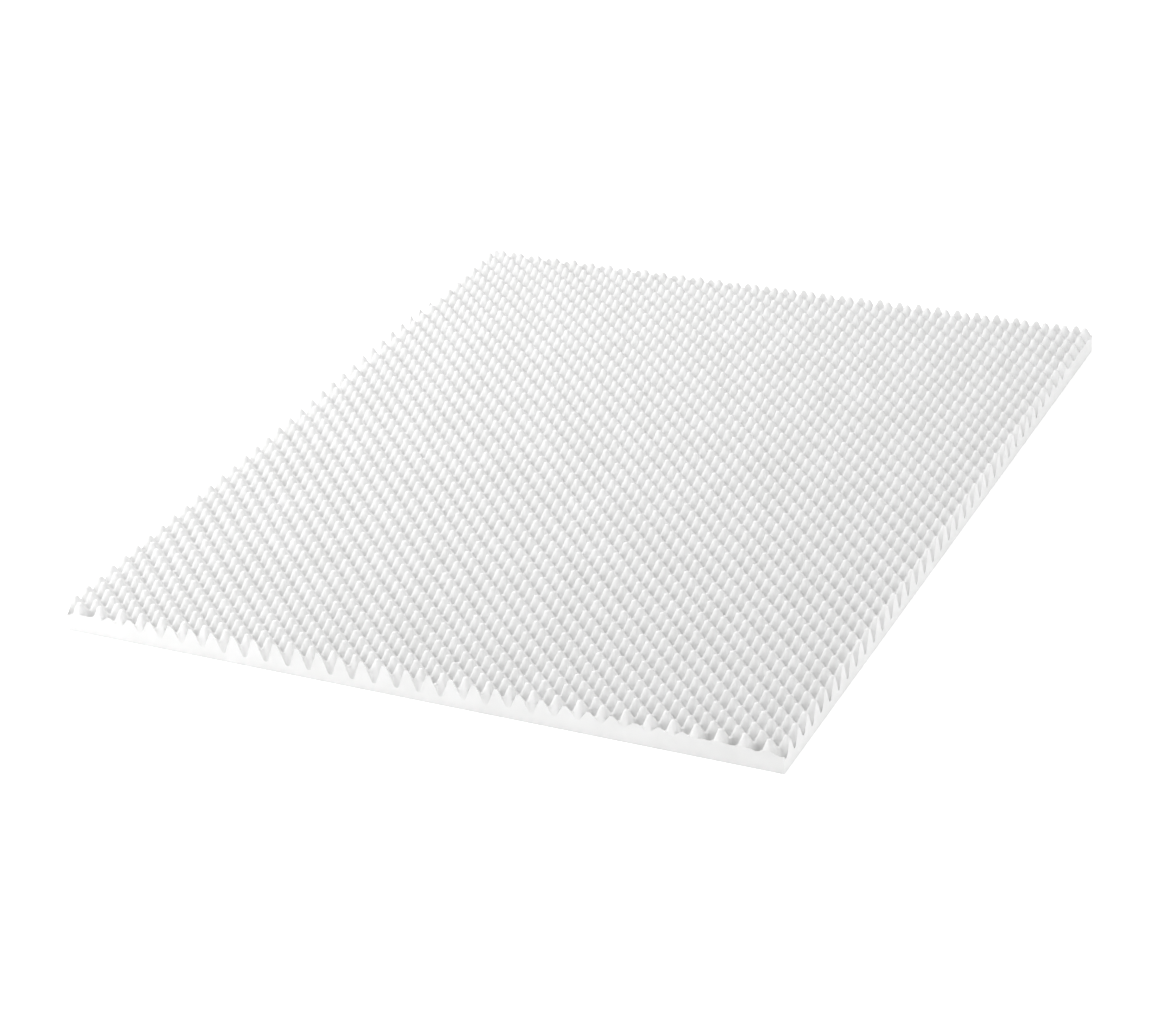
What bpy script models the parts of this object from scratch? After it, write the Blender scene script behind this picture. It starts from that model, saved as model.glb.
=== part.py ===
# Convoluted foam mattress topper for a 160 x 200 cm bed.
# One slab of white foam, flat underneath, with four straight knife-cut sides.
# Its whole top is an egg-crate relief: crests and hollows take turns along every row and every column.
# Metres, +Z up. The underside is on z = 0 and its middle is the origin; the slab is longest along Y.

from math import atan2, copysign

import bmesh
import bpy
from mathutils import Matrix, Vector

WIDTH = 1.60  # across the bed, along X
LENGTH = 2.00  # head to foot, along Y
CREST = 0.065  # underside to the top of a crest: the topper's full thickness
HOLLOW = 0.024  # foam left under the bottom of a hollow

# The foam stretches unevenly while it is cut, so its rows and columns are almost straight, with a slight bow.
MIDDLE_CREST = (-0.0026, -0.0122)  # where the crest nearest the middle stands
PITCH_ACROSS = 0.0498  # crest to crest along the middle row
PITCH_ALONG = 0.0516  # crest to crest along the middle column
HALF_ROW = 16  # crests from the middle of a row to its end
HALF_COLUMN = 20  # crests from the middle of a column to its end
ROW_LEAN = -0.0039  # what the end of a row is off to one side
COLUMN_LEAN = -0.0090  # what the end of a column is off to one side
ROW_DRIFT = -0.0203  # what both ends of a row are shifted along it
ROW_BOW = 0.0111  # what both ends of a row bend to one side
COLUMN_DRIFT = 0.0108  # what both ends of a column are shifted along it
COLUMN_BOW = -0.0258  # what both ends of a column bend to one side
CORNER_EASE = 0.0160  # what either bow is less by at the slab's corners
HEAD_WIDENING = 0.0057  # what half a row is longer at the head, and shorter at the foot
END_CROWDING = -0.0374  # what the rows at both ends of the slab are drawn in
END_DRIFT = 0.0142  # what the last rows at both ends are shifted towards the head
END_TURN = 0.0041  # what the last rows lean to the head at the right, and to the foot at the left
END_FLARE = 0.0038  # what the ends of the last rows, at the head and the foot, reach outwards

CELLS = 75  # diamonds each way before trimming, an odd number, so that one is in the middle
SLIVER = 0.002  # corners closer than this at a cut edge are made one
SIDE_STRIDE = 4  # of the upright edges on a side, one in this many stays: the side is flat between them

FOAM_COLOUR = (0.88, 0.88, 0.87, 1.0)
FOAM_ROUGHNESS = 0.95


def clear_scene():
    """Removes whatever objects the file opened with."""
    for found in list(bpy.data.objects):
        bpy.data.objects.remove(found, do_unlink=True)


def foam_material():
    """White open-cell foam, matt all over."""
    foam = bpy.data.materials.new("white_foam")
    foam.use_nodes = True
    shader = foam.node_tree.nodes["Principled BSDF"]
    shader.inputs["Base Color"].default_value = FOAM_COLOUR
    shader.inputs["Roughness"].default_value = FOAM_ROUGHNESS
    shader.inputs["Metallic"].default_value = 0.0
    return foam


def lay_diamonds(bm):
    """A sheet of diamonds, counted in crests each way: a hollow at every corner, a crest over every middle."""
    turned = Matrix(((0.5, -0.5, 0, 0), (0.5, 0.5, 0, 0), (0, 0, 1, HOLLOW), (0, 0, 0, 1)))
    bmesh.ops.create_grid(bm, x_segments=CELLS, y_segments=CELLS, size=CELLS / 2, matrix=turned)


def raise_crests(bm):
    """Splits each diamond at its middle into four slopes and lifts the middle to the crest."""
    bmesh.ops.poke(bm, faces=bm.faces[:], offset=CREST - HOLLOW, center_mode="MEAN")


def spread_crests(bm):
    """Takes the sheet from crest counts to metres, with the slight bow of its rows and columns."""
    for corner in bm.verts:
        corner.co.x, corner.co.y = crest_place(corner.co.x, corner.co.y)


def crest_place(along_row, along_column):
    """The place on the slab that is so many crests from the middle along the rows and along the columns."""
    row = along_row / HALF_ROW
    column = along_column / HALF_COLUMN
    ease = CORNER_EASE * (row * column) ** 2
    x = MIDDLE_CREST[0] + PITCH_ACROSS * along_row + COLUMN_LEAN * column + HEAD_WIDENING * row * column
    x += ROW_DRIFT * row**2 + COLUMN_BOW * column**2 + ease
    y = MIDDLE_CREST[1] + PITCH_ALONG * along_column + ROW_LEAN * row + ROW_BOW * row**2 - ease
    y += COLUMN_DRIFT * column**2 + END_CROWDING * column**3 + END_DRIFT * column**4
    y += END_TURN * row**3 * column**2 + END_FLARE * row**2 * column**3
    return x, y


def trim_sides(bm):
    """Cuts the relief off straight along the four sides of the slab."""
    cuts = (
        (Vector((1, 0, 0)), WIDTH / 2),
        (Vector((-1, 0, 0)), WIDTH / 2),
        (Vector((0, 1, 0)), LENGTH / 2),
        (Vector((0, -1, 0)), LENGTH / 2),
    )
    for outward, reach in cuts:
        everything = bm.verts[:] + bm.edges[:] + bm.faces[:]
        bmesh.ops.bisect_plane(bm, geom=everything, plane_co=outward * reach, plane_no=outward, clear_outer=True)
    bmesh.ops.remove_doubles(bm, verts=bm.verts[:], dist=SLIVER)
    for corner in bm.verts:
        if corner.is_boundary:
            corner.co.x = square_up(corner.co.x, WIDTH / 2)
            corner.co.y = square_up(corner.co.y, LENGTH / 2)


def square_up(place, reach):
    """Puts a place that is within a sliver of a side exactly on that side."""
    if abs(abs(place) - reach) < SLIVER:
        return copysign(reach, place)
    return place


def drop_sides(bm):
    """Carries the cut edge down to the floor as the four sides, with few upright edges."""
    rim = [edge for edge in bm.edges if edge.is_boundary]
    bmesh.ops.extrude_edge_only(bm, edges=rim)
    for corner in bm.verts:
        if corner.is_boundary:
            corner.co.z = 0
    uprights = [edge for edge in bm.edges if sum(corner.is_boundary for corner in edge.verts) == 1]
    uprights.sort(key=lambda edge: atan2(edge.verts[0].co.y, edge.verts[0].co.x))
    spare = [edge for count, edge in enumerate(uprights) if count % SIDE_STRIDE and not at_slab_corner(edge)]
    bmesh.ops.dissolve_edges(bm, edges=spare, use_verts=True)


def at_slab_corner(edge):
    """Whether an upright edge is one of the slab's own four corners."""
    place = edge.verts[0].co
    return abs(place.x) > WIDTH / 2 - SLIVER and abs(place.y) > LENGTH / 2 - SLIVER


def close_underside(bm):
    """Fills the flat underside, which makes the slab one closed body."""
    bmesh.ops.contextual_create(bm, geom=[edge for edge in bm.edges if edge.is_boundary])
    bmesh.ops.recalc_face_normals(bm, faces=bm.faces[:])


def build_topper():
    """The whole slab as one closed solid."""
    bm = bmesh.new()
    lay_diamonds(bm)
    raise_crests(bm)
    spread_crests(bm)
    trim_sides(bm)
    drop_sides(bm)
    close_underside(bm)
    mesh = bpy.data.meshes.new("topper")
    bm.to_mesh(mesh)
    bm.free()
    mesh.materials.append(foam_material())
    return bpy.data.objects.new("topper", mesh)


clear_scene()
collection = bpy.data.collections.new("mattress_topper")
bpy.context.scene.collection.children.link(collection)
collection.objects.link(build_topper())
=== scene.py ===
# Convoluted foam mattress topper for a 160 x 200 cm bed, lying alone on a white studio floor.
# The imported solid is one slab; one finer piece of foam takes its place here. Metres, +Z up.

import math

import bmesh
import bpy
from mathutils import Matrix, Vector, noise


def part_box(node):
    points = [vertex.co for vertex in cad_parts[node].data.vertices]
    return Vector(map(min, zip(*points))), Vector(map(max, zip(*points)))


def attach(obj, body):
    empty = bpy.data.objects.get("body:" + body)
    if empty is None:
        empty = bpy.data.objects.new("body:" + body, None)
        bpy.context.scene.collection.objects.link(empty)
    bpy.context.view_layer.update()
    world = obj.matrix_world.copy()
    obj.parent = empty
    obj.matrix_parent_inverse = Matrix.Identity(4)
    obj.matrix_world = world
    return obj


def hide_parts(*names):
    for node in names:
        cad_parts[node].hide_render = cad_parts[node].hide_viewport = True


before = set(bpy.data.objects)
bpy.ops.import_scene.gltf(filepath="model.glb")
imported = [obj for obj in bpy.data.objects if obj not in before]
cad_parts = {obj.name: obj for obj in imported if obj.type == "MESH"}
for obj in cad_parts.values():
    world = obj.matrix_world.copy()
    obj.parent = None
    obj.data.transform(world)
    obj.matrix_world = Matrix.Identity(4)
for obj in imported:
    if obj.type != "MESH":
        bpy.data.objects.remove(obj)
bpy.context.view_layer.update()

# Camera.
# A long lens on a full-frame body. It stands off the foot end, some three metres up,
# and looks along the topper's length from the right.

SENSOR = 36
LENS = 91.5
SEES_AS_FAR_AS = 200
CAMERA_TURN = math.radians(-26.52)
CAMERA_DIP = math.radians(27.47)
CAMERA_ROLL = math.radians(-3.34)
CAMERA_DISTANCE = 6.515
CAMERA_AIM = Vector((0.003, -0.171, 0.0))

ahead = Vector(
    (
        math.sin(CAMERA_TURN) * math.cos(CAMERA_DIP),
        math.cos(CAMERA_TURN) * math.cos(CAMERA_DIP),
        -math.sin(CAMERA_DIP),
    )
)
lens = bpy.data.cameras.new("camera")
lens.sensor_width = SENSOR
lens.lens = LENS
lens.clip_end = SEES_AS_FAR_AS
camera = bpy.data.objects.new("camera", lens)
level = (-ahead).to_track_quat("Z", "Y").to_matrix()
rolled = level @ Matrix.Rotation(CAMERA_ROLL, 3, "Z")
camera.matrix_world = Matrix.Translation(CAMERA_AIM - ahead * CAMERA_DISTANCE) @ rolled.to_4x4()
bpy.context.scene.collection.objects.link(camera)
bpy.context.scene.camera = camera

# The topper.
# One slab of white open-cell polyurethane foam. A convoluting machine squeezes it between two knobbed rollers
# and slits it in the middle, which leaves crests and hollows all over the top and a smooth underside.
# The four sides are cut straight down with a knife after that, through whatever crests stand there.

low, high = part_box("topper")
HALF_WIDTH = high.x
HALF_LENGTH = high.y
CREST = high.z
HOLLOW = 0.019
NARROWNESS = 1.4

# The foam stretches unevenly while it is cut, so its rows and columns are almost straight, with a slight bow.
MIDDLE_CREST = (-0.0026, -0.0122)
PITCH_ACROSS = 0.0498
PITCH_ALONG = 0.0516
HALF_ROW = 16
HALF_COLUMN = 20
ROW_LEAN = -0.0039
COLUMN_LEAN = -0.0090
ROW_DRIFT = -0.0203
ROW_BOW = 0.0111
COLUMN_DRIFT = 0.0108
COLUMN_BOW = -0.0258
CORNER_EASE = 0.0160
HEAD_WIDENING = 0.0057
END_CROWDING = -0.0374
END_DRIFT = 0.0142
END_TURN = 0.0041
END_FLARE = 0.0038

# The crests differ a little in height and place, and the cut foam has a fine ripple.
UNEVEN = 0.0024
UNEVEN_PACE = 1.3
UNEVEN_SLICE = 7.3
WANDER = 0.0016
WANDER_SLICES = (2.6, 5.1)
RIPPLE = 0.0006
RIPPLE_PACE = 160

# The mesh is laid in crest counts, past all four sides, and is trimmed to them after.
STEPS_A_CREST = 8
REACH = 21
GATHER = 0.030


def crest_place(along_row, along_column):
    """The place on the slab that is so many crests from the middle along the rows and along the columns."""
    row = along_row / HALF_ROW
    column = along_column / HALF_COLUMN
    ease = CORNER_EASE * (row * column) ** 2
    x = MIDDLE_CREST[0] + PITCH_ACROSS * along_row + COLUMN_LEAN * column + HEAD_WIDENING * row * column
    x += ROW_DRIFT * row**2 + COLUMN_BOW * column**2 + ease
    y = MIDDLE_CREST[1] + PITCH_ALONG * along_column + ROW_LEAN * row + ROW_BOW * row**2 - ease
    y += COLUMN_DRIFT * column**2 + END_CROWDING * column**3 + END_DRIFT * column**4
    y += END_TURN * row**3 * column**2 + END_FLARE * row**2 * column**3
    return x, y


def gather(count):
    """Draws the mesh lines together over the crests and hollows, where the foam is most curved."""
    return count - GATHER * math.sin(2 * math.tau * count)


def foam_height(along_row, along_column):
    """The height of the relief: narrow blunt crests and like hollows, with steep flanks between them."""
    wave = math.cos(math.tau * along_row) * math.cos(math.tau * along_column)
    rise = (math.copysign(abs(wave) ** NARROWNESS, wave) + 1) / 2
    share = rise**3 * (rise * (6 * rise - 15) + 10)
    spot = Vector((UNEVEN_PACE * along_row, UNEVEN_PACE * along_column, UNEVEN_SLICE))
    top = CREST + UNEVEN * noise.noise(spot)
    return HOLLOW + (top - HOLLOW) * share


bm = bmesh.new()
steps = 2 * REACH * STEPS_A_CREST
bmesh.ops.create_grid(bm, x_segments=steps, y_segments=steps, size=REACH)
for corner in bm.verts:
    along_row = gather(corner.co.x)
    along_column = gather(corner.co.y)
    x, y = crest_place(along_row, along_column)
    x += WANDER * noise.noise(Vector((along_row, along_column, WANDER_SLICES[0])))
    y += WANDER * noise.noise(Vector((along_row, along_column, WANDER_SLICES[1])))
    ripple = noise.noise(Vector((x, y, 0.0)) * RIPPLE_PACE) * RIPPLE
    corner.co = (x, y, foam_height(along_row, along_column) + ripple)

for outward, reach in (
    (Vector((1, 0, 0)), HALF_WIDTH),
    (Vector((-1, 0, 0)), HALF_WIDTH),
    (Vector((0, 1, 0)), HALF_LENGTH),
    (Vector((0, -1, 0)), HALF_LENGTH),
):
    relief = bm.verts[:] + bm.edges[:] + bm.faces[:]
    bmesh.ops.bisect_plane(bm, geom=relief, plane_co=outward * reach, plane_no=outward, clear_outer=True)

rim = [edge for edge in bm.edges if edge.is_boundary]
for edge in rim:
    edge.smooth = False
sides = bmesh.ops.extrude_edge_only(bm, edges=rim)["geom"]
for made in sides:
    if isinstance(made, bmesh.types.BMVert):
        made.co.z = 0
    if isinstance(made, bmesh.types.BMFace):
        made.material_index = 1
bottom = [edge for edge in bm.edges if edge.is_boundary]
for edge in bottom:
    edge.smooth = False
bmesh.ops.contextual_create(bm, geom=bottom)
bmesh.ops.recalc_face_normals(bm, faces=bm.faces[:])
for face in bm.faces:
    face.smooth = face.material_index == 0

mesh = bpy.data.meshes.new("foam_topper")
bm.to_mesh(mesh)
bm.free()
topper = bpy.data.objects.new("foam_topper", mesh)
bpy.context.scene.collection.objects.link(topper)

# The look of the foam.
# Its pores, grain, clouds and knife lines are so many to the metre, and their depths are in metres.

FOAM_SHADES = ((0.75, 0.75, 0.745, 1), (0.79, 0.79, 0.79, 1))
CLOUD_EDGES = (0.30, 0.70)
FOAM_GLOSS = 0.2
FOAM_ROUGHNESS = (0.86, 1.0)
PORES = 900
PORE_DEPTH = 0.0006
GRAIN = 320
GRAIN_DEPTH = 0.0008
GRAIN_STRENGTH = 0.35
CLOUDS = 14
KNIFE_LINES = 240
KNIFE_STRETCH = (1, 1, 0.08)
KNIFE_DRAG = 0.0006
KNIFE_STRENGTH = 0.3


def foam_material(name, pore_strength, drag):
    """Matt white open-cell foam: pores under a millimetre, a faint cloudiness, and the drag of the knife."""
    material = bpy.data.materials.new(name)
    material.use_nodes = True
    nodes = material.node_tree.nodes
    links = material.node_tree.links
    shader = nodes["Principled BSDF"]
    shader.inputs["Metallic"].default_value = 0.0
    shader.inputs["Specular IOR Level"].default_value = FOAM_GLOSS
    place = nodes.new("ShaderNodeTexCoord")

    pores = nodes.new("ShaderNodeTexVoronoi")
    pores.inputs["Scale"].default_value = PORES
    links.new(place.outputs["Object"], pores.inputs["Vector"])
    cloud = nodes.new("ShaderNodeTexNoise")
    cloud.inputs["Scale"].default_value = CLOUDS
    cloud.inputs["Detail"].default_value = 5
    links.new(place.outputs["Object"], cloud.inputs["Vector"])
    grain = nodes.new("ShaderNodeTexNoise")
    grain.inputs["Scale"].default_value = GRAIN
    grain.inputs["Detail"].default_value = 4
    links.new(place.outputs["Object"], grain.inputs["Vector"])

    tint = nodes.new("ShaderNodeValToRGB")
    tint.color_ramp.elements[0].position = CLOUD_EDGES[0]
    tint.color_ramp.elements[0].color = FOAM_SHADES[0]
    tint.color_ramp.elements[1].position = CLOUD_EDGES[1]
    tint.color_ramp.elements[1].color = FOAM_SHADES[1]
    links.new(cloud.outputs["Fac"], tint.inputs["Fac"])
    links.new(tint.outputs["Color"], shader.inputs["Base Color"])

    dull = nodes.new("ShaderNodeMapRange")
    dull.inputs["To Min"].default_value = FOAM_ROUGHNESS[0]
    dull.inputs["To Max"].default_value = FOAM_ROUGHNESS[1]
    links.new(grain.outputs["Fac"], dull.inputs["Value"])
    links.new(dull.outputs["Result"], shader.inputs["Roughness"])

    pit = nodes.new("ShaderNodeBump")
    pit.inputs["Strength"].default_value = pore_strength
    pit.inputs["Distance"].default_value = PORE_DEPTH
    links.new(pores.outputs["Distance"], pit.inputs["Height"])
    rough = nodes.new("ShaderNodeBump")
    rough.inputs["Strength"].default_value = GRAIN_STRENGTH
    rough.inputs["Distance"].default_value = GRAIN_DEPTH
    links.new(grain.outputs["Fac"], rough.inputs["Height"])
    links.new(pit.outputs["Normal"], rough.inputs["Normal"])
    last = rough
    if drag:
        stretched = nodes.new("ShaderNodeMapping")
        stretched.inputs["Scale"].default_value = KNIFE_STRETCH
        links.new(place.outputs["Object"], stretched.inputs["Vector"])
        lines = nodes.new("ShaderNodeTexNoise")
        lines.inputs["Scale"].default_value = KNIFE_LINES
        lines.inputs["Detail"].default_value = 3
        links.new(stretched.outputs["Vector"], lines.inputs["Vector"])
        last = nodes.new("ShaderNodeBump")
        last.inputs["Strength"].default_value = KNIFE_STRENGTH
        last.inputs["Distance"].default_value = drag
        links.new(lines.outputs["Fac"], last.inputs["Height"])
        links.new(rough.outputs["Normal"], last.inputs["Normal"])
    links.new(last.outputs["Normal"], shader.inputs["Normal"])
    return material


mesh.materials.append(foam_material("slit_foam", pore_strength=0.5, drag=0))
mesh.materials.append(foam_material("knife_cut_foam", pore_strength=0.7, drag=KNIFE_DRAG))
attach(topper, "root")
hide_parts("topper")

# The studio floor.
# One seamless sheet of matt white acrylic that runs far past the view on every side.
# It is lit from below as well, which washes out the topper's shadow.

FLOOR = 60
FLOOR_COLOUR = (0.95, 0.95, 0.95, 1)
FLOOR_GLOW = 0.30

bpy.ops.mesh.primitive_plane_add(size=FLOOR)
floor = bpy.context.object
floor.name = "studio_floor"
acrylic = bpy.data.materials.new("white_acrylic")
acrylic.use_nodes = True
sheet_shader = acrylic.node_tree.nodes["Principled BSDF"]
sheet_shader.inputs["Base Color"].default_value = FLOOR_COLOUR
sheet_shader.inputs["Roughness"].default_value = 1.0
sheet_shader.inputs["Emission Color"].default_value = FLOOR_COLOUR
sheet_shader.inputs["Emission Strength"].default_value = FLOOR_GLOW
floor.data.materials.append(acrylic)

# The studio light.
# An even surround and four round soft boxes that face the topper, three of them on its left.
# Each has the compass turn, height and distance that it stands at, its width, and the light it gives there.

SURROUND = 0.42
SOFT_BOXES = (
    {"name": "low_left", "turn": -100, "height": 30, "distance": 7.0, "width": 5.0, "strength": 1.20},
    {"name": "low_near", "turn": -138, "height": 25, "distance": 4.0, "width": 2.8, "strength": 0.65},
    {"name": "high_left", "turn": -71, "height": 60, "distance": 8.0, "width": 5.8, "strength": 1.95},
    {"name": "low_right", "turn": 109, "height": 30, "distance": 14.0, "width": 10.0, "strength": 1.32},
)

world = bpy.data.worlds.new("studio")
world.use_nodes = True
world.node_tree.nodes["Background"].inputs["Color"].default_value = (1, 1, 1, 1)
world.node_tree.nodes["Background"].inputs["Strength"].default_value = SURROUND
bpy.context.scene.world = world

for box in SOFT_BOXES:
    light = bpy.data.lights.new(box["name"], "AREA")
    light.shape = "DISK"
    light.size = box["width"]
    light.energy = box["strength"] * math.pi * box["distance"] ** 2
    turn = math.radians(box["turn"])
    height = math.radians(box["height"])
    towards = Vector((math.sin(turn) * math.cos(height), math.cos(turn) * math.cos(height), math.sin(height)))
    stand = bpy.data.objects.new(box["name"], light)
    stand.location = towards * box["distance"]
    stand.rotation_mode = "QUATERNION"
    stand.rotation_quaternion = towards.to_track_quat("Z", "Y")
    bpy.context.scene.collection.objects.link(stand)
bpy.context.scene.view_settings.view_transform = "Standard"
